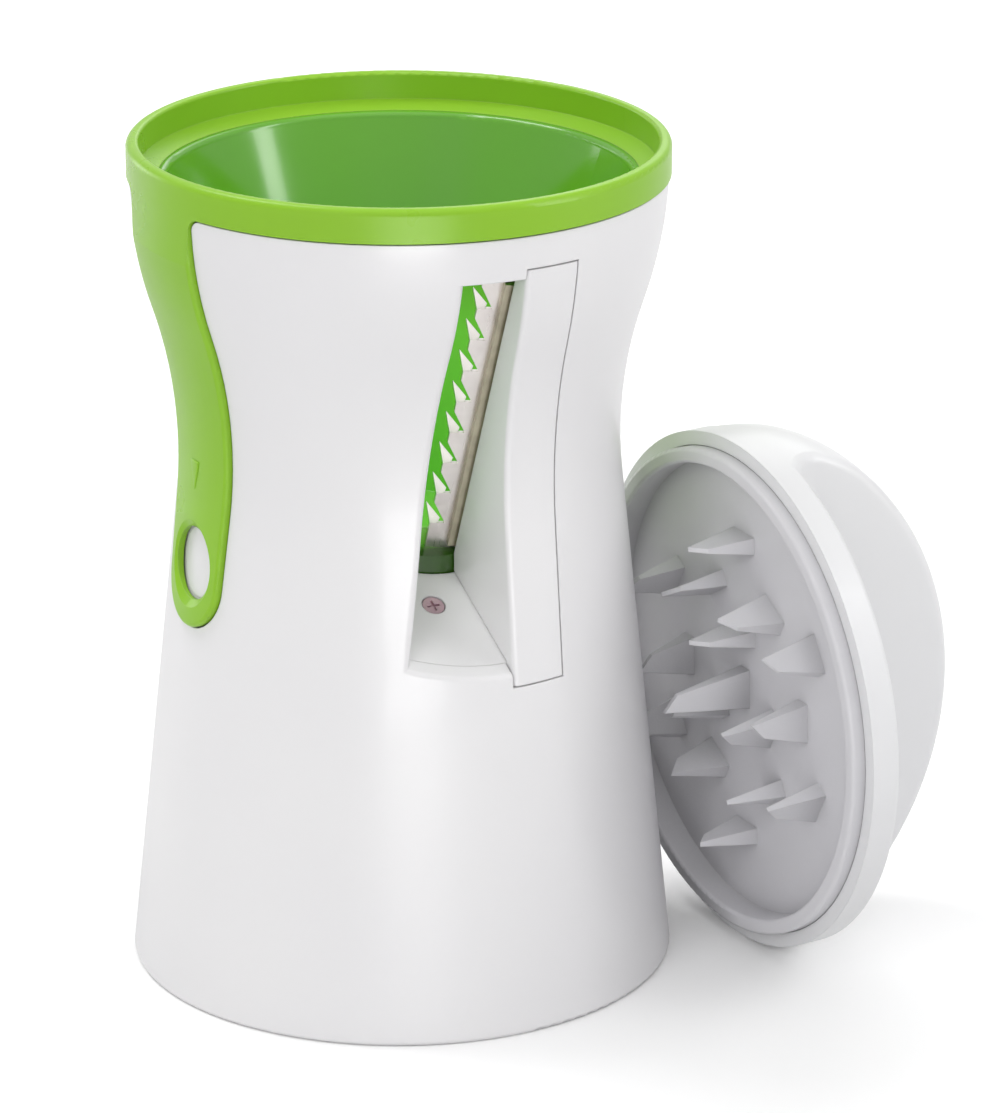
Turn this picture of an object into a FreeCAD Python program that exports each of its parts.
import FreeCAD, Part

import math
import os

import Sketcher
from FreeCAD import Vector

# A hand-held cone spiralizer. The origin is the centre of the foot of the hourglass shell, on the
# surface that it stands on. +Z runs up the axis of the funnel, and the strip window faces -Y. The grip
# tongues and their buttons lie at +X and -X. The spiked cap rests on its rim at +X, open side to the shell.

doc = FreeCAD.newDocument("Spiralizer")
sheet = doc.addObject("Spreadsheet::Sheet", "Sizes")

DRIVING_SIZES = [
    # the hourglass line of the shell: a straight flank, a hollow waist and a flared mouth
    ("base_radius", 45.3, "shell radius at the table"),
    ("flank_slope", 0.105, "how much the flank narrows per millimetre of height"),
    ("flank_height", 83.3, "where the flank passes into the waist"),
    ("waist_curve", 73.4, "radius of the hollow waist"),
    ("waist_rise", 31.1, "height of the hollow waist"),
    ("flare_curve", 70.4, "radius of the flared mouth"),
    ("mouth_rise", 19.8, "height of the flared mouth"),
    ("shell_wall", 2.4, "wall of the shell"),
    ("foot_round", 0.8, "rounding of the foot edge"),
    ("seam", 0.25, "seam round the panel and round the tongues"),
    ("seat_gap", 0.3, "gap under what lifts or slides past the shell"),
    # the strip window
    ("window_drop", 7.0, "upper edge of the window below the shell's edge"),
    ("window_top_width", 10.2, "width of the window at its upper edge"),
    ("window_margin", 5.1, "how far the window's side line runs on below the sill"),
    ("window_foot_width", 17.6, "width of the window where that line ends"),
    ("window_side_curve", 540.0, "radius of the window's left side"),
    ("window_round", 1.0, "soft lip of the window"),
    # the panel right of the window
    ("panel_width", 9.35, "width of the panel"),
    ("panel_drop", 1.9, "lower edge of the panel below the sill"),
    ("panel_rise", 1.4, "upper edge of the panel above the window"),
    ("panel_round", 0.9, "rounding between the panel's face and the radial wall"),
    ("panel_web", 2.0, "thickness of the radial wall behind the panel"),
    ("panel_lug", 2.2, "how far the panel's lug reaches behind the shell"),
    ("panel_lug_wall", 1.2, "thickness of that lug"),
    ("web_clearance", 1.75, "radial wall to the cone, room for the blade clamp"),
    # the chute under the window
    ("sill_drop", 8.9, "sill of the window below the cone's foot"),
    ("chute_slope", 0.55, "rise of the chute floor per millimetre inwards"),
    ("chute_wall", 2.0, "thickness of the chute floor"),
    ("chute_rise", 0.8, "upper edge of the chute's side wall above the window"),
    ("chute_spread", 0.78, "tangent of the side wall's angle from the front"),
    ("chute_clearance", 1.0, "side wall to the cone"),
    ("foot_clearance", 0.4, "chute floor to the cone's foot"),
    ("bracket_wall", 5.0, "height of the shell bracket under the chute floor"),
    ("bracket_width", 7.0, "width of that bracket"),
    ("chute_screw_x", -6.5, "place of the chute screw across"),
    ("chute_screw_gap", 5.2, "chute screw in front of the floor's inner edge"),
    # the rim collar and its tongues
    ("collar_overhang", 0.4, "how far the collar stands out of the shell's mouth"),
    ("collar_wall", 2.1, "wall of the collar's band"),
    ("collar_height", 5.5, "height of the collar's band"),
    ("collar_round", 1.1, "rounding of the band's upper edges"),
    ("socket_depth", 4.6, "depth of the bore that takes the cap's spigot"),
    ("shelf_drop", 1.25, "fall of the shelf inside the bore"),
    ("shelf_width", 3.0, "width of the shelf"),
    ("ring_gap", 0.4, "gap between the shell and the rings that hang inside it"),
    ("ring_depth", 1.9, "how far the collar's inner ring reaches below the band"),
    ("tongue_top_width", 20.6, "width of a tongue under the band"),
    ("tongue_foot_width", 16.4, "width of a tongue at its round end"),
    ("tongue_length", 71.5, "length of a tongue below the band"),
    ("tongue_proud", 1.1, "how far a tongue stands out of the shell's line"),
    ("tongue_depth", 0.4, "how far a tongue lies inside the shell's line"),
    ("tongue_round", 0.7, "rounding of a tongue's outer edges"),
    ("tongue_corner", 2.2, "inner corner between tongue and band"),
    # the slicing cone
    ("lip_width", 1.4, "width of the lip inside the shelf"),
    ("lip_drop", 1.0, "lip's inner edge below the shell's edge"),
    ("cone_flare", 0.395, "widening of the cone per millimetre of height"),
    ("cone_wall", 2.2, "wall of the cone, square to its surface"),
    ("cone_lip", 0.9, "height of the rounded lip"),
    ("lip_bulge", 1.2, "radius of the lip's rounding as a share of its height"),
    ("cone_depth", 58.2, "depth of the cone below its lip"),
    ("cone_floor_wall", 2.0, "thickness of the cone's bottom"),
    ("cone_flange_wall", 1.7, "thickness of the flange under the collar"),
    ("cup_ledge", 1.05, "how far the foot cup stands out of the cone"),
    ("cup_wall", 2.2, "wall of the foot cup"),
    ("cup_drop", 6.0, "lower edge of the foot cup below the cone's inner bottom"),
    ("cup_rise", 0.7, "upper edge of the foot cup above the cone's inner bottom"),
    ("cup_round", 0.7, "rounding of the cup's upper edge"),
    # the blade
    ("blade_rise", 4.5, "lowest tooth above the cone's inner bottom"),
    ("blade_sink", 0.35, "how deep the blade's face lies in the cone"),
    ("blade_tilt", 15.0, "turn of the blade about its length, cutting edge inwards"),
    ("blade_wall", 0.6, "thickness of the blade"),
    ("blade_edge", 3.9, "cutting edge left of the centre line"),
    ("blade_back", 5.5, "back of the blade right of the centre line"),
    ("blade_length", 54.0, "length of the blade"),
    ("blade_tail", 5.0, "blade below the lowest tooth"),
    ("tooth_pitch", 6.2, "distance between teeth"),
    ("tooth_count", 8, "number of teeth"),
    ("tooth_width", 2.5, "length of a tooth's fold"),
    ("tooth_height", 4.3, "height of a tooth"),
    ("tooth_root", 1.3, "width of a tooth at its lower edge"),
    ("tooth_crook", 1.8, "how far a tooth's corner stands out"),
    ("tooth_crook_height", 1.1, "height of that corner"),
    ("tooth_wall", 0.5, "thickness of a tooth"),
    ("tooth_fold", 73.0, "angle by which a tooth is folded inwards"),
    ("clamp_edge", 0.5, "clamp left of the centre line"),
    ("clamp_wall", 1.2, "thickness of the clamp"),
    ("slot_width", 8.4, "slot in the cone left of the blade's seat"),
    ("slot_margin", 1.5, "slot beyond the teeth at each end"),
    ("seat_boss", 2.0, "depth of the boss under the blade"),
    # the screws
    ("screw_radius", 1.0, "shank radius of a screw"),
    ("screw_head_radius", 1.8, "head radius of a screw"),
    ("screw_head", 0.9, "head height of a screw"),
    ("screw_slack", 0.05, "clearance round a shank"),
    ("head_slack", 0.2, "clearance round a sunk head"),
    ("cross_width", 0.45, "width of a screw's cross recess"),
    ("cross_reach", 1.1, "half length of a screw's cross recess"),
    ("cross_depth", 0.5, "depth of a screw's cross recess"),
    ("blade_screw_x", 3.25, "place of the blade screws right of the centre line"),
    ("blade_screw_length", 3.0, "shank below a blade screw's head"),
    ("chute_screw_length", 4.2, "shank below the chute screw's head"),
    ("cover_screw_length", 4.6, "shank below a cover screw's head"),
    # the release buttons
    ("button_rise", 10.5, "button axis above the tongue's lowest point"),
    ("button_radius", 5.8, "radius of a button"),
    ("button_gap", 0.06, "running clearance round a button"),
    ("button_hole", 6.0, "radius of the hole in a tongue"),
    ("dish_radius", 7.2, "radius of that hole's dished rim"),
    ("dish_depth", 0.9, "depth of the dish"),
    ("button_flange", 1.2, "how far a button's flange stands out"),
    ("button_flange_wall", 1.35, "thickness of that flange"),
    ("button_stem", 2.2, "radius of a button's stem"),
    ("button_stem_length", 5.0, "length of a button's stem"),
    ("button_recess", 0.3, "button face behind the tongue's inner face"),
    ("button_travel", 1.8, "travel of a button"),
    ("lip_depth", 2.0, "depth of the housing's lip behind the button's face"),
    ("housing_wall", 1.2, "wall of the housing round the flange"),
    ("flange_gap", 0.2, "clearance round the flange"),
    ("housing_depth", 8.6, "depth of the housing behind its lip"),
    ("ear_reach", 13.2, "half width of the housing with its ears"),
    ("ear_height", 5.2, "height of the ears"),
    ("ear_wall", 4.0, "thickness of the ears"),
    ("ear_skin", 0.2, "what is left of an ear in front of its screw hole"),
    ("ear_screw", 10.9, "cover screws from the button axis"),
    ("cover_wall", 1.6, "thickness of the housing's cover"),
    ("foot_block_width", 26.0, "width of the housing's foot block"),
    ("foot_block_drop", 7.0, "foot block below the tongue"),
    ("foot_block_gap", 7.5, "top of the foot block below the button axis"),
    ("foot_block_depth", 6.0, "depth of the foot block"),
    ("spring_wire", 0.25, "wire radius of a spring"),
    ("spring_coil", 3.4, "coil radius of a spring"),
    ("spring_turns", 5.0, "turns of a spring"),
    # the cap
    ("cap_gap", 8.92, "cap's rim plane beyond the shell's side"),
    ("cap_y", -24.65, "place of the cap's axis"),
    ("cap_lean", 1.8, "lean of the cap's axis"),
    ("cap_band", 5.2, "height of the cap's rim"),
    ("cap_wall", 2.4, "wall of the cap"),
    ("cap_disc", 1.4, "thickness of the cap's ledges"),
    ("cap_round", 0.9, "rounding of the cap's rim"),
    ("dome_height", 37.5, "top of the grip above the rim plane"),
    ("dome_side_curve", 23.0, "side radius of the dome"),
    ("grip_width", 19.0, "width of the grip between the scoops"),
    ("grip_foot_curve", 6.0, "hollow at the foot of the grip"),
    ("grip_round", 1.8, "rounding of the grip's edges"),
    ("spigot_clearance", 0.4, "clearance round the cap's spigot in the socket"),
    ("spigot_wall", 2.6, "wall of the spigot"),
    ("spigot_reach", 2.3, "spigot beyond the rim plane"),
    ("spigot_round", 0.6, "rounding of the spigot's edge"),
    ("plate_height", 2.5, "spike plate above the rim plane"),
    ("spike_width", 6.8, "width of a spike at its root"),
    ("spike_wall", 3.0, "thickness of a spike at its root"),
    ("spike_tip_wall", 0.8, "thickness of a spike at its tip"),
    ("spike_tip_width", 2.7, "width of a spike at its tip"),
    ("spike_bevel", 2.4, "how much a spike's tip is cut slanting"),
    ("spike_length", 10.0, "length of a spike"),
    ("centre_spike_length", 15.8, "length of the middle spike"),
    ("inner_spikes", 9.5, "ring radius of the inner spikes"),
    ("inner_spike_count", 3, "number of inner spikes"),
    ("middle_spikes", 18.3, "ring radius of the middle spikes"),
    ("middle_spike_count", 6, "number of middle spikes"),
    ("outer_spikes", 26.0, "ring radius of the outer spikes"),
    ("outer_spike_count", 6, "number of outer spikes"),
]


class Size:
    """A size with its value and the sheet formula that gives it."""

    def __init__(self, value, formula=None):
        self.value = float(value)
        self.formula = formula or "({:.9g})".format(self.value)

    def joined(self, sign, other, value):
        return Size(value, "({} {} {})".format(self.formula, sign, other.formula))

    def __add__(self, other):
        other = as_size(other)
        return self.joined("+", other, self.value + other.value)

    def __sub__(self, other):
        other = as_size(other)
        return self.joined("-", other, self.value - other.value)

    def __mul__(self, other):
        other = as_size(other)
        return self.joined("*", other, self.value * other.value)

    def __truediv__(self, other):
        other = as_size(other)
        return self.joined("/", other, self.value / other.value)

    def __radd__(self, other):
        return as_size(other) + self

    def __rsub__(self, other):
        return as_size(other) - self

    def __rmul__(self, other):
        return as_size(other) * self

    def __rtruediv__(self, other):
        return as_size(other) / self

    def __neg__(self):
        return Size(-self.value, "(0 - {})".format(self.formula))


def as_size(number):
    return number if isinstance(number, Size) else Size(number)


def root(number):
    return Size(math.sqrt(number.value), "sqrt({})".format(number.formula))


class SizeList:
    """The driving sizes by name."""


size = SizeList()
for row, (alias, value, meaning) in enumerate(DRIVING_SIZES, start=1):
    sheet.set("A{}".format(row), meaning)
    sheet.set("B{}".format(row), str(value))
    sheet.setAlias("B{}".format(row), alias)
    setattr(size, alias, Size(value, "Sizes." + alias))
doc.recompute()

FAR = 70.0  # reach of a tool that cuts across the whole object
NEAR = 14.0  # reach of a tool that cuts through one wall
PAST = 1.0  # how far a tool runs past the face it opens
TOUCH = 0.01  # slack when an edge is found by its place


# ---- helpers for sketches and solids -------------------------------------------------------------------


def bind(thing, prop, number):
    thing.setExpression(prop, as_size(number).formula)


def new_body(name):
    body = doc.addObject("PartDesign::Body", name)
    body.Label = name
    return body


def origin_plane(body, role):
    for feature in body.Origin.OriginFeatures:
        if feature.Role == role:
            return feature
    raise ValueError(role)


def fix_point(sketch, edge, end, x, y):
    """Tie one end of an edge to its place, measured from the sketch's origin."""
    for kind, number, axis in (("DistanceX", x, -2), ("DistanceY", y, -1)):
        if as_size(number).value == 0:
            sketch.addConstraint(Sketcher.Constraint("PointOnObject", edge, end, axis))
        else:
            number = as_size(number)
            index = sketch.addConstraint(Sketcher.Constraint(kind, -1, 1, edge, end, number.value))
            sketch.setExpression("Constraints[{}]".format(index), number.formula)


def arc_between(start, end, radius):
    """The short arc from start to end. A positive radius turns left, a negative one right."""
    chord = end - start
    middle = (start + end) * 0.5
    rise = math.sqrt(max(radius * radius - (chord.Length * 0.5) ** 2, 0.0))
    left = Vector(-chord.y, chord.x, 0).normalize()
    centre = middle + left * (rise if radius > 0 else -rise)
    first, last = (start, end) if radius > 0 else (end, start)
    from_angle = math.atan2(first.y - centre.y, first.x - centre.x)
    to_angle = math.atan2(last.y - centre.y, last.x - centre.x)
    circle = Part.Circle(centre, Vector(0, 0, 1), abs(radius))
    return Part.ArcOfCircle(circle, from_angle, to_angle)


def draw(sketch, corners):
    """A closed outline. A corner is (x, y), or (x, y, radius) when the edge that ends there is an arc."""
    ends = []
    for place, corner in enumerate(corners):
        following = corners[(place + 1) % len(corners)]
        start = Vector(as_size(corner[0]).value, as_size(corner[1]).value, 0)
        end = Vector(as_size(following[0]).value, as_size(following[1]).value, 0)
        if len(following) == 2:
            edge = sketch.addGeometry(Part.LineSegment(start, end), False)
            ends.append((edge, 1, 2))
            continue
        radius = as_size(following[2])
        edge = sketch.addGeometry(arc_between(start, end, radius.value), False)
        ends.append((edge, 1, 2) if radius.value > 0 else (edge, 2, 1))
        index = sketch.addConstraint(Sketcher.Constraint("Radius", edge, abs(radius.value)))
        length = radius if radius.value > 0 else -radius
        sketch.setExpression("Constraints[{}]".format(index), length.formula)
    for place, (edge, first, last) in enumerate(ends):
        next_edge, next_first, next_last = ends[(place + 1) % len(ends)]
        sketch.addConstraint(Sketcher.Constraint("Coincident", edge, last, next_edge, next_first))
        fix_point(sketch, edge, first, corners[place][0], corners[place][1])


def new_sketch(body, role, corners, lift=None, suffix="outline"):
    sketch = body.newObject("Sketcher::SketchObject", "{}_{}".format(body.Name, suffix))
    sketch.AttachmentSupport = [(origin_plane(body, role), "")]
    sketch.MapMode = "FlatFace"
    if lift is not None:
        bind(sketch, "AttachmentOffset.Base.z", lift)
    draw(sketch, corners)
    return sketch


def turned(name, corners, place=None):
    """A solid turned about the body's Z axis. Corners are (radius, height)."""
    body = new_body(name)
    sketch = new_sketch(body, "XZ_Plane", corners)
    turn = body.newObject("PartDesign::Revolution", name + "_turn")
    turn.Profile = sketch
    turn.ReferenceAxis = (sketch, ["V_Axis"])
    turn.Angle = 360
    body.Tip = turn
    if place:
        body.setExpression("Placement", place)
    return body


def plate(name, role, corners, start, length, place=None):
    """A flat outline on an origin plane, thickened from start by length along the plane's normal."""
    body = new_body(name)
    sketch = new_sketch(body, role, corners, start)
    pad = body.newObject("PartDesign::Pad", name + "_pad")
    pad.Profile = sketch
    bind(pad, "Length", length)
    body.Tip = pad
    if place:
        body.setExpression("Placement", place)
    return body


def block(name, low, high, place=None):
    """A box from its low corner to its high corner."""
    (x0, y0, z0), (x1, y1, z1) = low, high
    return plate(name, "XY_Plane", [(x0, y0), (x1, y0), (x1, y1), (x0, y1)], z0, as_size(z1) - z0, place)


def rod(name, radius, start, length, place=None):
    """A round bar along Z, from start by length."""
    half = [(0, start), (radius, start), (radius, as_size(start) + length), (0, as_size(start) + length)]
    return turned(name, half, place)


def joined(name, pieces):
    fuse = doc.addObject("Part::MultiFuse", name)
    fuse.Shapes = pieces
    fuse.Label = name
    return fuse


def shared(name, pieces):
    common = doc.addObject("Part::MultiCommon", name)
    common.Shapes = pieces
    common.Label = name
    return common


def cut(name, base, tools):
    """The base with every tool taken out of it."""
    tool = tools[0] if len(tools) == 1 else joined(name + "_tools", tools)
    result = doc.addObject("Part::Cut", name)
    result.Base = base
    result.Tool = tool
    result.Label = name
    return result


def grouped(name, pieces):
    group = doc.addObject("Part::Compound", name)
    group.Links = pieces
    group.Label = name
    return group


def rounded(name, base, radius, wanted):
    """The base with a fillet on each edge that wanted(edge) accepts."""
    doc.recompute()
    fillet = doc.addObject("Part::Fillet", name)
    fillet.Base = base
    fillet.Edges = [
        (index, radius.value, radius.value)
        for index, edge in enumerate(base.Shape.Edges, start=1)
        if wanted(edge)
    ]
    fillet.Label = name
    return fillet


def placement(x, y, z, turns):
    """A placement formula. Turns are (axis, degrees) pairs, the outermost first."""
    axes = {"x": "vector(1; 0; 0)", "y": "vector(0; 1; 0)", "z": "vector(0; 0; 1)"}
    spot = "vector({}; {}; {})".format(*(as_size(number).formula for number in (x, y, z)))
    rotations = ["rotation({}; {})".format(axes[axis], angle) for axis, angle in turns]
    return "placement({}; {})".format(spot, " * ".join(rotations))


# ---- the hourglass line ------------------------------------------------------------------------------------


def cosine(sine):
    return root(1 - sine * sine)


flare_height = size.flank_height + size.waist_rise
shell_height = flare_height + size.mouth_rise
flank_sine = -size.flank_slope / root(1 + size.flank_slope * size.flank_slope)
waist_end_sine = flank_sine + size.waist_rise / size.waist_curve
waist_radius = size.base_radius - size.flank_slope * size.flank_height
flare_radius = waist_radius + size.waist_curve * (cosine(flank_sine) - cosine(waist_end_sine))


def shell_radius(height):
    """Outer radius of the shell's line at a height."""
    height = as_size(height)
    if height.value <= size.flank_height.value:
        return size.base_radius - size.flank_slope * height
    if height.value <= flare_height.value:
        sine = flank_sine + (height - size.flank_height) / size.waist_curve
        return waist_radius + size.waist_curve * (cosine(flank_sine) - cosine(sine))
    sine = waist_end_sine - (height - flare_height) / size.flare_curve
    return flare_radius + size.flare_curve * (cosine(sine) - cosine(waist_end_sine))


def flare_height_at(radius):
    """Height at which the flared mouth reaches a radius."""
    upper_cosine = (radius - flare_radius) / size.flare_curve + cosine(waist_end_sine)
    return flare_height + size.flare_curve * (waist_end_sine - cosine(upper_cosine))


def line_up(bottom, top, inset):
    """Corners of the hourglass line from bottom to top, moved towards the axis by inset."""
    bottom = as_size(bottom)
    top = as_size(top)
    corners = [(shell_radius(bottom) - inset, bottom)]
    if bottom.value < size.flank_height.value < top.value:
        corners.append((shell_radius(size.flank_height) - inset, size.flank_height))
    if bottom.value < flare_height.value < top.value:
        corners.append((shell_radius(flare_height) - inset, flare_height, -size.waist_curve))
    if top.value <= size.flank_height.value:
        corners.append((shell_radius(top) - inset, top))
    elif top.value <= flare_height.value:
        corners.append((shell_radius(top) - inset, top, -size.waist_curve))
    else:
        corners.append((shell_radius(top) - inset, top, size.flare_curve))
    return corners


def line_down(bottom, top, inset):
    """The same line, from top to bottom."""
    upward = line_up(bottom, top, inset)
    downward = [upward[-1][:2]]
    for place in range(len(upward) - 1, 0, -1):
        arc = upward[place][2:]
        downward.append(upward[place - 1][:2] + tuple(-radius for radius in arc))
    return downward


def core(name, bottom, top, inset):
    """The full solid inside the hourglass line, moved in by inset."""
    return turned(name, [(0, bottom)] + line_up(bottom, top, inset) + [(0, top)])


def layer(name, bottom, top, inner, outer):
    """A skin between two insets of the hourglass line."""
    return turned(name, line_up(bottom, top, outer) + line_down(bottom, top, inner))


# ---- the cone's line, and the frames of blade and cap --------------------------------------------------

# Radii step inwards from the shell's mouth.
mouth_radius = shell_radius(shell_height)
collar_radius = mouth_radius + size.collar_overhang
socket_radius = collar_radius - size.collar_wall
shelf_radius = socket_radius - size.shelf_width
cone_mouth_radius = shelf_radius - size.lip_width

# The insert hangs from the rim, so its heights are measured down from there.
cone_mouth_height = shell_height - size.lip_drop
cone_floor = cone_mouth_height - size.cone_depth
cup_foot = cone_floor - size.cup_drop
cup_top = cone_floor + size.cup_rise
blade_foot = cone_floor + size.blade_rise

cone_secant = root(1 + size.cone_flare * size.cone_flare)
cone_cosine = 1 / cone_secant
cone_sine = size.cone_flare / cone_secant


def cone_inner(height):
    return cone_mouth_radius - size.cone_flare * (cone_mouth_height - height)


def cone_outer(height, clearance=0):
    """Outer radius of the cone at a height, with a clearance square to its surface."""
    return cone_inner(height) + (size.cone_wall + clearance) * cone_secant


def cone_outer_height(radius, clearance):
    """Height at which the cone's outer line, moved out by clearance, reaches a radius."""
    return cone_mouth_height - (cone_outer(cone_mouth_height, clearance) - radius) / size.cone_flare


cup_radius = cone_outer(cup_top) + size.cup_ledge

# Blade frame: X to the right, Y up the cone's side, Z out of the blade's face, origin at the lowest tooth.
blade_y = size.blade_sink * cone_cosine - cone_outer(blade_foot)
blade_z = blade_foot + size.blade_sink * cone_sine
blade_turns = [("x", "90deg + atan(Sizes.cone_flare)"), ("y", "0 - Sizes.blade_tilt")]
blade_place = placement(0, blade_y, blade_z, blade_turns)

# Cap frame: Z from the rim plane to the top of the grip, X across the scoops.
cap_radius = collar_radius
cap_x = shell_radius(cap_radius) + size.cap_gap
cap_lean_cosine = Size(math.cos(math.radians(size.cap_lean.value)), "cos(Sizes.cap_lean)")
cap_turns = [("y", "0 - Sizes.cap_lean"), ("z", "90"), ("x", "90")]
cap_place = placement(cap_x, size.cap_y, cap_radius * cap_lean_cosine, cap_turns)

# Button frames: Z outwards along the button's axis.
tongue_foot = shell_height + size.seat_gap - size.tongue_length
button_height = tongue_foot + size.button_rise
BUTTON_SIDES = {"right": 0, "left": 180}
button_place = {
    side: placement(0, 0, button_height, [("z", turn), ("y", 90)]) for side, turn in BUTTON_SIDES.items()
}


# ---- screws -------------------------------------------------------------------------------------------------


def screw(name, length, place):
    """A pan-head screw. Its head sits on Z = 0 and its shank points along -Z."""
    head = size.screw_head_radius
    outline = [
        (0, -length),
        (size.screw_radius, -length),
        (size.screw_radius, 0),
        (head, 0),
        (head, size.screw_head),
        (0, size.screw_head),
    ]
    body = turned(name, outline, place)
    arm = size.cross_reach
    half = size.cross_width / 2
    cross = [
        (-half, -arm), (half, -arm), (half, -half), (arm, -half), (arm, half), (half, half),
        (half, arm), (-half, arm), (-half, half), (-arm, half), (-arm, -half), (-half, -half),
    ]
    sketch = new_sketch(body, "XY_Plane", cross, size.screw_head, "cross")
    pocket = body.newObject("PartDesign::Pocket", name + "_recess")
    pocket.Profile = sketch
    bind(pocket, "Length", size.cross_depth)
    body.Tip = pocket
    return body


screw_hole = size.screw_radius + size.screw_slack
head_hole = size.screw_head_radius + size.head_slack


# ---- rim collar ----------------------------------------------------------------------------------------------

collar_foot = shell_height + size.seat_gap
collar_top = collar_foot + size.collar_height
shelf_height = collar_top - size.socket_depth
ring_outer = mouth_radius - size.shell_wall - size.ring_gap
ring_foot = collar_foot - size.ring_depth
tongue_half_top = size.tongue_top_width / 2
tongue_half_foot = size.tongue_foot_width / 2
tongue_end = tongue_foot + tongue_half_foot
tongue_overlap = 1.0  # how far the tongue runs up inside the band


def tongue_outline(margin):
    """Outline of a tongue seen along X, grown by margin."""
    half_top = tongue_half_top + margin
    half_foot = tongue_half_foot + margin
    corner = size.tongue_corner - margin
    shoulder = tongue_half_top + size.tongue_corner
    return [
        (-half_foot, tongue_end),
        (0, tongue_foot - margin, half_foot),
        (half_foot, tongue_end, half_foot),
        (half_top, collar_foot - size.tongue_corner),
        (shoulder, collar_foot - margin, -corner),
        (shoulder, collar_foot + tongue_overlap),
        (-shoulder, collar_foot + tongue_overlap),
        (-shoulder, collar_foot - margin),
        (-half_top, collar_foot - size.tongue_corner, -corner),
    ]


def make_collar():
    rim = size.collar_round
    band = turned("collar_band", [
        (collar_radius, collar_foot),
        (collar_radius, collar_top - rim),
        (collar_radius - rim, collar_top, rim),
        (socket_radius + rim / 2, collar_top),
        (socket_radius, collar_top - rim / 2, rim / 2),
        (socket_radius, shelf_height),
        (shelf_radius, shelf_height - size.shelf_drop),
        (shelf_radius, ring_foot),
        (ring_outer, ring_foot),
        (ring_outer, collar_foot),
    ])
    proud = -size.tongue_proud
    low = tongue_foot - PAST
    high = collar_foot + tongue_overlap
    flush = flare_height_at(collar_radius - size.tongue_proud)
    skin_corners = line_up(low, flush, proud)
    skin_corners.append((collar_radius, high))
    skin_corners += line_down(low, high, size.tongue_depth)
    skin = turned("tongue_skin", skin_corners)
    outline = plate("tongue_outline", "YZ_Plane", tongue_outline(0), -FAR, 2 * FAR)
    square = shared("square_tongues", [skin, outline])

    def on_tongue_edge(edge):
        """Whether an edge runs down a side or round the end of a tongue, on its outer face."""
        middle = edge.valueAt((edge.FirstParameter + edge.LastParameter) / 2)
        points = [vertex.Point for vertex in edge.Vertexes] + [middle]
        outside = all(
            abs(math.hypot(point.x, point.y) - shell_radius(point.z).value + proud.value) < TOUCH
            for point in points
        )
        below = all(point.z < collar_foot.value - size.tongue_corner.value + TOUCH for point in points)
        return outside and below and abs(middle.y) > TOUCH

    tongues = rounded("tongues", square, size.tongue_round, on_tongue_edge)
    tools = [rod("tongue_holes", size.button_hole, -FAR, 2 * FAR, button_place["right"])]
    tools += [button_dish(side) for side in BUTTON_SIDES]
    return cut("rim_collar", joined("collar_blank", [band, tongues]), tools)


def button_dish(side):
    """A tool that dishes the rim of a button's hole, square to the sloping outer face of the tongue."""
    face = shell_radius(button_height) + size.tongue_proud
    square = placement(0, 0, face, [("y", "0deg - atan(Sizes.flank_slope)")])
    return turned("button_dish_" + side, [
        (0, -size.dish_depth),
        (size.button_hole, -size.dish_depth),
        (size.dish_radius, 0),
        (size.dish_radius, PAST),
        (0, PAST),
    ], "{} * {}".format(button_place[side], square))


# ---- slicing cone, blade and clamp -------------------------------------------------------------------------

seat_low = -size.blade_tail
seat_high = size.blade_length - size.blade_tail
teeth_top = (size.tooth_count - 1) * size.tooth_pitch + size.tooth_height
BLADE_SCREW_PLACES = (0.1, 0.5, 0.9)  # places of the blade screws along the teeth
boss_low = -size.blade_wall - size.seat_boss


def blade_screw_y(share):
    return teeth_top * share


def make_cone():
    lip_radius = cone_mouth_radius + size.cone_lip
    flange_top = ring_foot
    flange_foot = flange_top - size.cone_flange_wall
    flange_edge = ring_outer - size.ring_gap
    lip_top = cone_mouth_height + size.cone_lip
    cup_inner = cup_radius - size.cup_wall
    blank = turned("cone_blank", [
        (0, cone_floor - size.cone_floor_wall),
        (cup_inner, cone_floor - size.cone_floor_wall),
        (cup_inner, cup_foot),
        (cup_radius, cup_foot),
        (cup_radius, cup_top - size.cup_round),
        (cup_radius - size.cup_round, cup_top, size.cup_round),
        (cone_outer(cup_top), cup_top),
        (cone_outer(flange_foot), flange_foot),
        (flange_edge, flange_foot),
        (flange_edge, flange_top),
        (shelf_radius, flange_top),
        (shelf_radius, lip_top),
        (0, lip_top),
    ])
    boss = block(
        "blade_boss",
        (-size.clamp_edge, seat_low, boss_low),
        (size.blade_back + size.clamp_edge, seat_high, -size.blade_wall),
        blade_place,
    )
    cavity = turned("cone_cavity", [
        (0, cone_floor),
        (cone_inner(cone_floor), cone_floor),
        (cone_mouth_radius, cone_mouth_height),
        (lip_radius, lip_top, -size.cone_lip * size.lip_bulge),
        (lip_radius, lip_top + size.cone_lip),
        (0, lip_top + size.cone_lip),
    ])
    slot_right = size.clamp_edge
    slot = block(
        "shred_slot",
        (-size.slot_width, -size.slot_margin, -NEAR),
        (slot_right, teeth_top + size.slot_margin, NEAR),
        blade_place,
    )
    seat = block(
        "blade_seat",
        (-size.slot_width, seat_low, -size.blade_wall),
        (size.blade_back + size.clamp_edge, seat_high, NEAR),
        blade_place,
    )
    holes = [
        rod(
            "cone_hole_{}".format(number), screw_hole,
            head_hole_depth() - size.blade_screw_length - size.screw_slack, NEAR,
            blade_screw_place(share),
        )
        for number, share in enumerate(BLADE_SCREW_PLACES, start=1)
    ]
    return cut("slicing_cone", joined("cone_with_boss", [blank, boss]), [cavity, slot, seat] + holes)


def head_hole_depth():
    """Height of the sunk heads' seat above the blade's face."""
    return size.clamp_wall - size.screw_head


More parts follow.
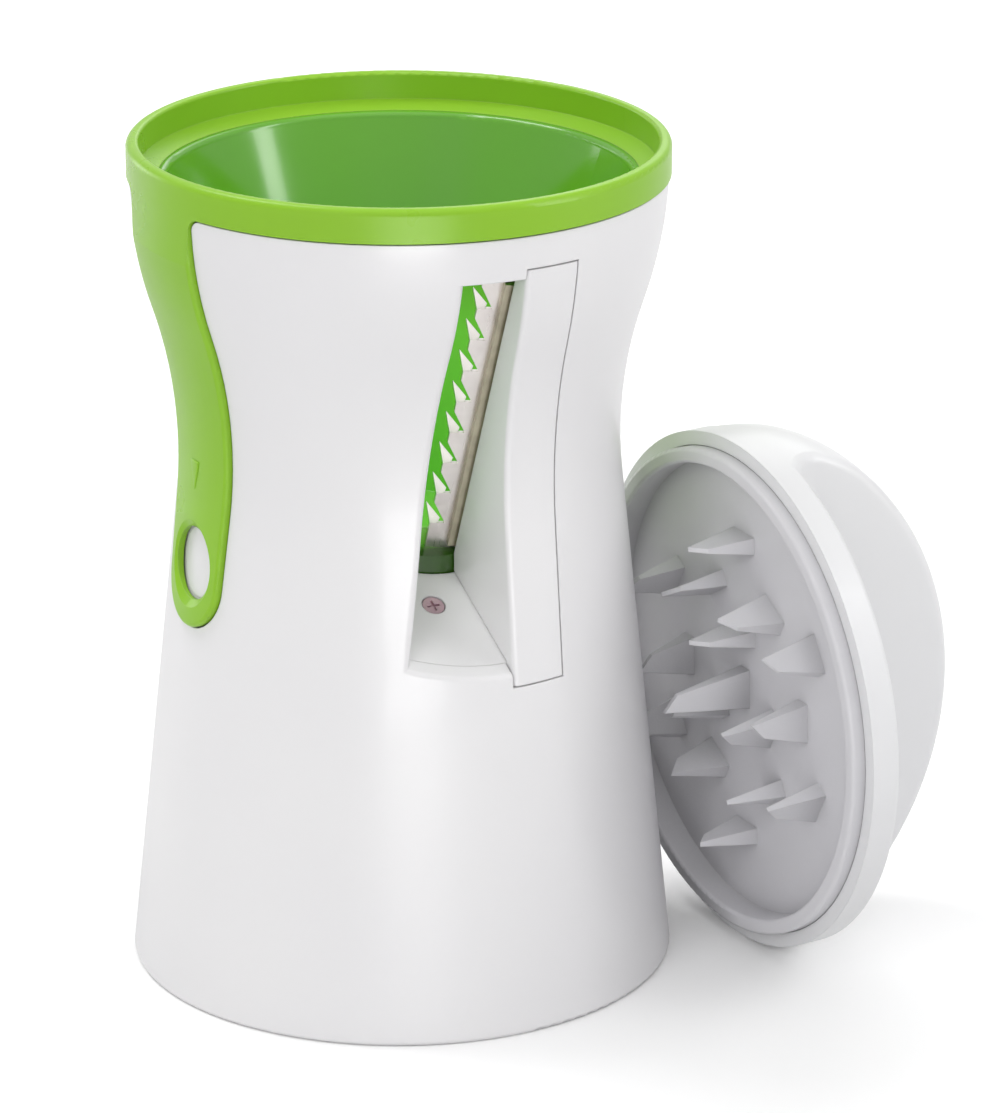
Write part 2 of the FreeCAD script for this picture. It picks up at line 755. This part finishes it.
def blade_screw_place(share):
    """The blade frame, moved to one screw."""
    spot = "vector({}; {}; 0)".format(size.blade_screw_x.formula, blade_screw_y(share).formula)
    return "{} * placement({}; rotation(vector(0; 0; 1); 0))".format(blade_place, spot)


def make_blade():
    """A flat strip with notches in its cutting edge, and a triangle folded in at each notch."""
    body = new_body("blade_blank")
    edge = -size.blade_edge
    strip = new_sketch(body, "XY_Plane", [
        (edge, seat_low), (size.blade_back, seat_low), (size.blade_back, seat_high), (edge, seat_high),
    ], -size.blade_wall, "strip")
    pad = body.newObject("PartDesign::Pad", "blade_strip")
    pad.Profile = strip
    bind(pad, "Length", size.blade_wall)
    notch = new_sketch(body, "XY_Plane", [
        (edge - PAST, 0),
        (edge + size.tooth_width, 0),
        (edge, size.tooth_height),
        (edge - PAST, size.tooth_height),
    ], None, "notch")
    pocket = body.newObject("PartDesign::Pocket", "blade_notch")
    pocket.Profile = notch
    pocket.Type = "ThroughAll"
    tooth = body.newObject("Sketcher::SketchObject", "blade_tooth_outline")
    tooth.AttachmentSupport = [(origin_plane(body, "XY_Plane"), "")]
    tooth.MapMode = "FlatFace"
    tooth.setExpression("AttachmentOffset", placement(0, 0, 0, [("x", "0 - Sizes.tooth_fold")]))
    draw(tooth, [
        (edge, 0),
        (edge + size.tooth_root, 0),
        (edge + size.tooth_crook, size.tooth_crook_height),
        (edge, size.tooth_height),
    ])
    folded = body.newObject("PartDesign::Pad", "blade_tooth")
    folded.Profile = tooth
    folded.Reversed = True
    bind(folded, "Length", size.tooth_wall)
    pattern = body.newObject("PartDesign::LinearPattern", "blade_teeth")
    pattern.Originals = [pocket, folded]
    pattern.Direction = (strip, ["V_Axis"])
    pattern.Mode = "Spacing"
    bind(pattern, "Offset", size.tooth_pitch)
    bind(pattern, "Occurrences", size.tooth_count)
    body.Tip = pattern
    body.setExpression("Placement", blade_place)
    holes = [
        rod("blade_hole_{}".format(number), screw_hole, -NEAR, 2 * NEAR, blade_screw_place(share))
        for number, share in enumerate(BLADE_SCREW_PLACES, start=1)
    ]
    return cut("julienne_blade", body, holes)


def make_clamp():
    bar = block(
        "clamp_bar",
        (-size.clamp_edge, seat_low + size.clamp_wall, 0),
        (size.blade_back, seat_high, size.clamp_wall),
        blade_place,
    )
    tools = []
    for number, share in enumerate(BLADE_SCREW_PLACES, start=1):
        place = blade_screw_place(share)
        tools.append(rod("clamp_hole_{}".format(number), screw_hole, -NEAR, 2 * NEAR, place))
        tools.append(rod("clamp_sink_{}".format(number), head_hole, head_hole_depth(), NEAR, place))
    return cut("blade_clamp", bar, tools)


def make_blade_screws():
    screws = []
    for number, share in enumerate(BLADE_SCREW_PLACES, start=1):
        spot = "vector({}; {}; {})".format(
            size.blade_screw_x.formula, blade_screw_y(share).formula, head_hole_depth().formula
        )
        place = "{} * placement({}; rotation(vector(0; 0; 1); 0))".format(blade_place, spot)
        screws.append(screw("blade_screw_{}".format(number), size.blade_screw_length, place))
    return grouped("blade_screws", screws)


# ---- chute floor ------------------------------------------------------------------------------------------------

cup_room = cup_radius + size.foot_clearance
sill_height = cup_foot - size.sill_drop
sill_radius = shell_radius(sill_height)
window_top = shell_height - size.window_drop
window_foot = sill_height - size.window_margin
panel_foot = sill_height - size.panel_drop
panel_top = window_top + size.panel_rise
chute_top = window_top + size.chute_rise
chute_screw_y = -cup_room - size.chute_screw_gap


def floor_height(y):
    """Top of the chute floor at a distance y from the axis plane, y being negative in front."""
    return sill_height + size.chute_slope * (sill_radius + y)


def slope_band(name, upper, lower, x_low, x_high, y_high):
    """A sloping slab between two drops below the chute floor's plane."""
    corners = [
        (-FAR, floor_height(-FAR) - lower),
        (y_high, floor_height(y_high) - lower),
        (y_high, floor_height(y_high) - upper),
        (-FAR, floor_height(-FAR) - upper),
    ]
    return plate(name, "YZ_Plane", corners, x_low, as_size(x_high) - x_low)


# Chute screw frame: Z square to the chute floor, origin in its upper face.
chute_turns = [("x", "atan(Sizes.chute_slope)")]
chute_seat = -size.screw_head - size.head_slack


def chute_screw_place(rise):
    """The chute screw frame, moved along its axis by rise."""
    floor = placement(
        size.chute_screw_x, chute_screw_y, floor_height(chute_screw_y), chute_turns
    )
    return "{} * placement(vector(0; 0; {}); rotation(vector(0; 0; 1); 0))".format(floor, as_size(rise).formula)


def chute_screw_hole(name, radius, bottom, height):
    return rod(name, radius, bottom, height, chute_screw_place(0))


def make_chute_floor():
    edge = cone_outer_height(cup_room, size.chute_clearance)
    room = turned("chute_room", [(cup_room, 0)] + line_up(0, chute_top, size.shell_wall) + [
        (cone_outer(chute_top, size.chute_clearance), chute_top),
        (cup_room, edge),
    ])
    side = size.chute_spread * FAR
    thick = size.chute_wall * root(1 + size.chute_spread * size.chute_spread)
    sector = plate(
        "chute_sector", "XY_Plane",
        [(0, 0), (-side, -FAR), (size.panel_web, -FAR), (size.panel_web, 0)], 0, chute_top,
    )
    slab = slope_band("chute_slab", 0, size.chute_wall, -FAR, size.panel_web, 0)
    floor = shared("chute_slope", [room, sector, slab])
    fence = plate(
        "chute_fence", "XY_Plane",
        [(0, 0), (-thick, 0), (-thick - side, -FAR), (-side, -FAR)], 0, chute_top,
    )
    above = plate("chute_above", "YZ_Plane", [
        (-FAR, floor_height(-FAR) - size.chute_wall),
        (0, floor_height(0) - size.chute_wall),
        (0, chute_top + PAST),
        (-FAR, chute_top + PAST),
    ], -FAR, FAR)
    wall = shared("chute_side", [room, fence, above])
    sink = chute_screw_hole("chute_sink", head_hole, chute_seat, NEAR)
    hole = chute_screw_hole("chute_hole", screw_hole, -NEAR, 2 * NEAR)
    return cut("chute_floor", joined("chute_blank", [floor, wall]), [sink, hole])


def make_floor_screw():
    return screw("floor_screw", size.chute_screw_length, chute_screw_place(chute_seat))


# ---- shell and side panel ----------------------------------------------------------------------------------------


def window_cutter(name):
    """The window's outline seen along Y, ended below by the plane of the chute floor."""
    front = plate(name + "_front", "XZ_Plane", [
        (size.panel_web, window_foot),
        (size.panel_web, window_top),
        (-size.window_top_width, window_top),
        (-size.window_foot_width, window_foot, -size.window_side_curve),
    ], cup_radius, FAR)
    corners = [(-FAR, floor_height(-FAR)), (0, floor_height(0)), (0, collar_top), (-FAR, collar_top)]
    above = plate(name + "_above", "YZ_Plane", corners, -FAR, 2 * FAR)
    return shared(name, [front, above])


def front_rectangle(name, left, right, bottom, top):
    """A block in front of the axis, seen along Y."""
    corners = [(left, bottom), (right, bottom), (right, top), (left, top)]
    return plate(name, "XZ_Plane", corners, cup_radius, FAR)


def make_shell():
    foot = size.foot_round
    outline = [
        (size.base_radius - size.shell_wall, 0),
        (size.base_radius - foot, 0),
        (shell_radius(foot), foot, foot),
    ]
    outline += line_up(foot, shell_height, 0)[1:]
    outline += line_down(0, shell_height, size.shell_wall)[:-1]
    blank = turned("shell_blank", outline)
    bracket_band = slope_band(
        "bracket_band", size.chute_wall, size.chute_wall + size.bracket_wall,
        size.chute_screw_x - size.bracket_width / 2, size.chute_screw_x + size.bracket_width / 2,
        chute_screw_y + size.bracket_width / 2,
    )
    bracket_core = core("bracket_core", 0, size.flank_height, size.shell_wall / 2)
    bracket = shared("shell_bracket", [bracket_band, bracket_core])
    notch = plate("tongue_notch", "YZ_Plane", tongue_outline(size.seam), -FAR, 2 * FAR)
    opening = front_rectangle(
        "panel_opening", -size.seam, size.panel_width + size.seam,
        panel_foot - size.seam, panel_top + size.seam,
    )
    hole = chute_screw_hole("bracket_hole", screw_hole, -NEAR, 2 * NEAR)
    shell = cut(
        "shell_cut", joined("shell_with_bracket", [blank, bracket]),
        [notch, window_cutter("window"), opening, hole],
    )

    def on_window_lip(edge):
        """Whether an edge is the left or the lower edge of the window, on the shell's outer face."""
        ends = [vertex.Point for vertex in edge.Vertexes]
        in_window = all(
            -size.window_foot_width.value < point.x < TOUCH - size.seam.value
            and point.y < 0
            and sill_height.value - PAST < point.z < window_top.value + TOUCH
            for point in ends
        )
        outside = all(
            abs(math.hypot(point.x, point.y) - shell_radius(point.z).value) < TOUCH for point in ends
        )
        upper = all(point.z > window_top.value - TOUCH for point in ends)
        return in_window and outside and not upper

    return rounded("outer_shell", shell, size.window_round, on_window_lip)


def make_side_panel():
    skin = layer("panel_skin", panel_foot, panel_top, size.shell_wall, 0)
    front = front_rectangle("panel_front", 0, size.panel_width, panel_foot, panel_top)
    face = shared("panel_face", [skin, front])
    web_foot = cone_outer_height(cup_room, size.web_clearance)
    profile = plate("web_profile", "YZ_Plane", [
        (-cup_room, floor_height(-cup_room) + size.seam),
        (-FAR, floor_height(-FAR) + size.seam),
        (-FAR, panel_top),
        (-cone_outer(panel_top, size.web_clearance), panel_top),
        (-cup_room, web_foot),
    ], 0, size.panel_web)
    web_core = core("web_core", 0, panel_top, size.shell_wall / 2)
    web = shared("panel_web_wall", [profile, web_core])
    lug_skin = layer(
        "lug_skin", panel_foot + size.shell_wall, window_top - size.shell_wall,
        size.shell_wall + size.panel_lug_wall, size.shell_wall,
    )
    lug_front = front_rectangle(
        "lug_front", size.panel_width - size.panel_lug, size.panel_width + size.panel_lug,
        panel_foot, panel_top,
    )
    lug = shared("panel_lugs", [lug_skin, lug_front])

    def on_radial_edge(edge):
        """Whether an edge lies between the panel's outer face and the radial wall."""
        points = [vertex.Point for vertex in edge.Vertexes]
        points.append(edge.valueAt((edge.FirstParameter + edge.LastParameter) / 2))
        return all(
            abs(point.x) < TOUCH
            and point.y < 0
            and abs(math.hypot(point.x, point.y) - shell_radius(point.z).value) < TOUCH
            for point in points
        )

    return rounded("side_panel", joined("panel_blank", [face, web, lug]), size.panel_round, on_radial_edge)


# ---- release buttons ------------------------------------------------------------------------------------------

tongue_face = shell_radius(button_height) - size.tongue_depth
button_face = tongue_face - size.button_recess
lip_back = button_face - size.lip_depth
housing_back = lip_back - size.housing_depth
flange_radius = size.button_radius + size.button_flange
housing_bore = flange_radius + size.flange_gap
housing_radius = housing_bore + size.housing_wall
flange_front = lip_back - size.button_gap
flange_back = flange_front - size.button_flange_wall
cover_back = housing_back - size.cover_wall


def make_housing(side):
    place = button_place[side]
    name = "button_housing_" + side
    barrel = rod(name + "_barrel", housing_radius, housing_back, FAR, place)
    ears = block(
        name + "_ears",
        (-size.ear_height / 2, -size.ear_reach, housing_back),
        (size.ear_height / 2, size.ear_reach, housing_back + size.ear_wall),
        place,
    )
    front_core = core(name + "_front_core", 0, flare_height, size.tongue_depth + size.button_recess)
    front = shared(name + "_front", [joined(name + "_head", [barrel, ears]), front_core])
    foot_drop = button_height - tongue_foot + size.foot_block_drop
    foot_top = size.foot_block_gap
    foot_block = block(
        name + "_foot_block",
        (foot_top, -size.foot_block_width / 2, lip_back + size.lip_depth - size.foot_block_depth),
        (foot_drop, size.foot_block_width / 2, FAR),
        place,
    )
    foot_core = core(name + "_foot_core", 0, flare_height, size.shell_wall)
    foot = shared(name + "_foot", [foot_block, foot_core])
    bore = rod(name + "_bore", housing_bore, housing_back - PAST, size.housing_depth + PAST, place)
    lip = rod(name + "_lip", size.button_radius + size.button_gap, housing_back, FAR, place)
    holes = ear_holes(name, housing_back - PAST, size.ear_wall - size.ear_skin + PAST, place)
    return cut(name, joined(name + "_blank", [front, foot]), [bore, lip] + holes)


def ear_place(side, hand):
    """The button frame, moved to one of the cover's screws."""
    offset = size.ear_screw if hand > 0 else -size.ear_screw
    spot = "vector(0; {}; {})".format(offset.formula, cover_back.formula)
    turn = "rotation(vector(1; 0; 0); 180)"
    return "{} * placement({}; {})".format(button_place[side], spot, turn)


def ear_holes(name, start, length, place):
    """Two screw holes through the ears."""
    holes = []
    for hand in (1, -1):
        offset = size.ear_screw if hand > 0 else -size.ear_screw
        spot = "vector(0; {}; 0)".format(offset.formula)
        moved = "{} * placement({}; rotation(vector(0; 0; 1); 0))".format(place, spot)
        tag = "a" if hand > 0 else "b"
        holes.append(rod("{}_hole_{}".format(name, tag), screw_hole, start, length, moved))
    return holes


def make_cover(side):
    place = button_place[side]
    name = "housing_cover_" + side
    disc = rod(name + "_disc", housing_radius, cover_back, size.cover_wall, place)
    ears = block(
        name + "_ears",
        (-size.ear_height / 2, -size.ear_reach, cover_back),
        (size.ear_height / 2, size.ear_reach, housing_back),
        place,
    )
    holes = ear_holes(name, cover_back - PAST, size.cover_wall + 2 * PAST, place)
    return cut(name, joined(name + "_blank", [disc, ears]), holes)


def make_button(side):
    name = "release_button_" + side
    stem_end = flange_back - size.button_stem_length
    blank = turned(name + "_blank", [
        (0, stem_end),
        (size.button_stem, stem_end),
        (size.button_stem, flange_back),
        (flange_radius, flange_back),
        (flange_radius, flange_front),
        (size.button_radius, flange_front),
        (size.button_radius, FAR),
        (0, FAR),
    ], button_place[side])
    face = core(name + "_face", 0, flare_height, size.tongue_depth + size.button_recess)
    return shared(name, [blank, face])


def make_spring(side):
    body = new_body("button_spring_" + side)
    sketch = body.newObject("Sketcher::SketchObject", body.Name + "_wire")
    sketch.AttachmentSupport = [(origin_plane(body, "XZ_Plane"), "")]
    sketch.MapMode = "FlatFace"
    start = housing_back + size.spring_wire + size.screw_slack
    height = flange_back - size.spring_wire - size.screw_slack - start
    centre = Vector(size.spring_coil.value, start.value, 0)
    wire = sketch.addGeometry(Part.Circle(centre, Vector(0, 0, 1), size.spring_wire.value), False)
    radius = sketch.addConstraint(Sketcher.Constraint("Radius", wire, size.spring_wire.value))
    sketch.setExpression("Constraints[{}]".format(radius), size.spring_wire.formula)
    fix_point(sketch, wire, 3, size.spring_coil, start)
    helix = body.newObject("PartDesign::AdditiveHelix", body.Name + "_coil")
    helix.Profile = sketch
    helix.ReferenceAxis = (sketch, ["V_Axis"])
    helix.Mode = "height-turns-angle"
    bind(helix, "Height", height)
    bind(helix, "Turns", size.spring_turns)
    body.Tip = helix
    body.setExpression("Placement", button_place[side])
    return body


def make_cover_screws(side):
    screws = [
        screw("cover_screw_{}_{}".format(side, tag), size.cover_screw_length, ear_place(side, hand))
        for tag, hand in (("a", 1), ("b", -1))
    ]
    return grouped("cover_screws_" + side, screws)


# ---- cap ------------------------------------------------------------------------------------------------------

spigot_radius = socket_radius - size.spigot_clearance
dome_rise = size.dome_height - size.cap_band


def dome_corners(radius, side_curve, rise, foot):
    """Two tangent arcs from (radius, foot) up to the axis at foot + rise."""
    crown = (radius * radius - 2 * radius * side_curve + rise * rise) / (2 * (rise - side_curve))
    reach = radius - side_curve
    run = crown - side_curve
    meet_radius = crown * reach / run
    meet_height = foot + rise - crown + crown * (crown - rise) / run
    return [(meet_radius, meet_height, side_curve), (0, foot + rise, crown)]


def grip_slab(name, half, foot_curve, bottom):
    """The slab that the two scoops leave standing, hollow at its foot, seen along Y."""
    ledge = size.cap_band
    wide = half + foot_curve
    top = size.dome_height + PAST
    corners = [
        (-wide, bottom), (wide, bottom), (wide, ledge),
        (half, ledge + foot_curve, -foot_curve),
        (half, top), (-half, top), (-half, ledge + foot_curve),
        (-wide, ledge, -foot_curve),
    ]
    return plate(name, "XZ_Plane", corners, -FAR, 2 * FAR, cap_place)


def round_grip(grip, slab):
    """Round the long edges between the dome and the scoops, down to the ledges."""
    doc.recompute()
    to_cap = slab.Placement.inverse()
    half = size.grip_width.value / 2

    def on_grip_edge(edge):
        middle = to_cap.multVec(edge.valueAt((edge.FirstParameter + edge.LastParameter) / 2))
        ends = (edge.Vertexes[0].Point, edge.Vertexes[-1].Point)
        straight = edge.Length - ends[0].distanceToPoint(ends[1]) < TOUCH * TOUCH
        return abs(middle.x) > half - TOUCH and middle.z > size.cap_band.value + TOUCH and not straight

    return rounded("grip_rounded", grip, size.grip_round, on_grip_edge)


def make_cap_shell():
    band = size.cap_band
    edge = size.cap_round
    half = size.grip_width / 2
    inner_radius = cap_radius - size.cap_wall
    disc_foot = band - size.cap_disc
    outer_dome = turned(
        "dome_outside",
        [(0, disc_foot), (cap_radius, disc_foot), (cap_radius, band)]
        + dome_corners(cap_radius, size.dome_side_curve, dome_rise, band),
        cap_place,
    )
    slab = grip_slab("grip_outside", half, size.grip_foot_curve, disc_foot)
    grip = round_grip(shared("grip_solid", [outer_dome, slab]), slab)
    rim = turned("cap_rim", [
        (inner_radius, 0),
        (cap_radius, 0),
        (cap_radius, band - edge),
        (cap_radius - edge, band, edge),
        (0, band),
        (0, disc_foot),
        (inner_radius, disc_foot),
    ], cap_place)
    solid = joined("cap_solid", [rim, grip])
    wall = size.cap_wall
    inner_dome = turned(
        "dome_inside",
        [(0, disc_foot - PAST), (inner_radius - wall, disc_foot - PAST), (inner_radius - wall, band)]
        + dome_corners(inner_radius - wall, size.dome_side_curve - wall, dome_rise - wall, band),
        cap_place,
    )
    hollow_half = half - wall
    hollow_slab = block(
        "grip_inside", (-hollow_half, -FAR, disc_foot - 2 * PAST), (hollow_half, FAR, size.dome_height), cap_place
    )
    hollow = shared("grip_hollow", [inner_dome, hollow_slab])
    return cut("cap_shell", solid, [hollow])


SPIKE_RINGS = (
    ("inner", size.inner_spikes, size.inner_spike_count, 90),
    ("middle", size.middle_spikes, size.middle_spike_count, 0),
    ("outer", size.outer_spikes, size.outer_spike_count, 30),
)


def spike(body, name, ring, start_angle, length):
    """One spike: its root on the plate is a rectangle, its tip a smaller one cut slanting."""
    across = math.radians(start_angle)
    x = ring * Size(math.cos(across))
    y = ring * Size(math.sin(across))
    turn = start_angle + 90
    half_width = size.spike_width / 2
    half_wall = size.spike_wall / 2
    root_sketch = body.newObject("Sketcher::SketchObject", name + "_root")
    root_sketch.AttachmentSupport = [(origin_plane(body, "XY_Plane"), "")]
    root_sketch.MapMode = "FlatFace"
    root_place = placement(x, y, size.plate_height, [("z", turn)])
    root_sketch.setExpression("AttachmentOffset", root_place)
    draw(root_sketch, [
        (-half_width, -half_wall), (half_width, -half_wall), (half_width, half_wall), (-half_width, half_wall),
    ])
    slant = root(size.spike_tip_width * size.spike_tip_width + size.spike_bevel * size.spike_bevel)
    tip_width = slant / 2
    tip_wall = size.spike_tip_wall / 2
    tip_sketch = body.newObject("Sketcher::SketchObject", name + "_tip")
    tip_sketch.AttachmentSupport = [(origin_plane(body, "XY_Plane"), "")]
    tip_sketch.MapMode = "FlatFace"
    tilt = "0deg - atan(Sizes.spike_bevel / Sizes.spike_tip_width)"
    tip_height = size.plate_height - length + size.spike_bevel / 2
    tip_sketch.setExpression("AttachmentOffset", placement(x, y, tip_height, [("z", turn), ("y", tilt)]))
    draw(tip_sketch, [
        (-tip_width, -tip_wall), (tip_width, -tip_wall), (tip_width, tip_wall), (-tip_width, tip_wall),
    ])
    loft = body.newObject("PartDesign::AdditiveLoft", name)
    loft.Profile = root_sketch
    loft.Sections = [tip_sketch]
    loft.Ruled = True
    return loft


def make_spike_plate():
    body = new_body("spike_plate")
    inner = spigot_radius - size.spigot_wall
    low = -size.spigot_reach
    edge = size.spigot_round
    top = size.cap_band - size.cap_disc
    sketch = new_sketch(body, "XZ_Plane", [
        (0, size.plate_height),
        (inner, size.plate_height),
        (inner, low + edge),
        (inner + edge, low, edge),
        (spigot_radius - edge, low),
        (spigot_radius, low + edge, edge),
        (spigot_radius, top),
        (0, top),
    ])
    disc = body.newObject("PartDesign::Revolution", "spike_disc")
    disc.Profile = sketch
    disc.ReferenceAxis = (sketch, ["V_Axis"])
    disc.Angle = 360
    spike(body, "centre_spike", as_size(0), 0, size.centre_spike_length)
    for name, ring, count, start_angle in SPIKE_RINGS:
        first = spike(body, name + "_spike", ring, start_angle, size.spike_length)
        pattern = body.newObject("PartDesign::PolarPattern", name + "_spike_ring")
        pattern.Originals = [first]
        pattern.Axis = (sketch, ["V_Axis"])
        pattern.Angle = 360
        bind(pattern, "Occurrences", count)
        body.Tip = pattern
    body.setExpression("Placement", cap_place)
    return body


# ---- build, check and write -----------------------------------------------------------------------------------

nodes = [
    make_shell(),
    make_side_panel(),
    make_chute_floor(),
    make_collar(),
    make_cone(),
    make_blade(),
    make_clamp(),
    make_blade_screws(),
    make_floor_screw(),
]
for side in BUTTON_SIDES:
    nodes += [
        make_button(side),
        make_housing(side),
        make_spring(side),
        make_cover(side),
        make_cover_screws(side),
    ]
nodes += [make_cap_shell(), make_spike_plate()]
doc.recompute()

for thing in doc.Objects:
    if "Invalid" in thing.State or "Error" in thing.State:
        raise RuntimeError("{} failed: {}".format(thing.Name, thing.State))
for node in nodes:
    if node.Shape.isNull() or not node.Shape.isValid() or not node.Shape.Solids:
        raise RuntimeError("{} has no valid solid".format(node.Label))

os.makedirs("parts", exist_ok=True)
for node in nodes:
    node.Shape.exportStep("parts/{}.step".format(node.Label))
    print("{}: {} solid(s), {:.1f} mm3".format(node.Label, len(node.Shape.Solids), node.Shape.Volume))
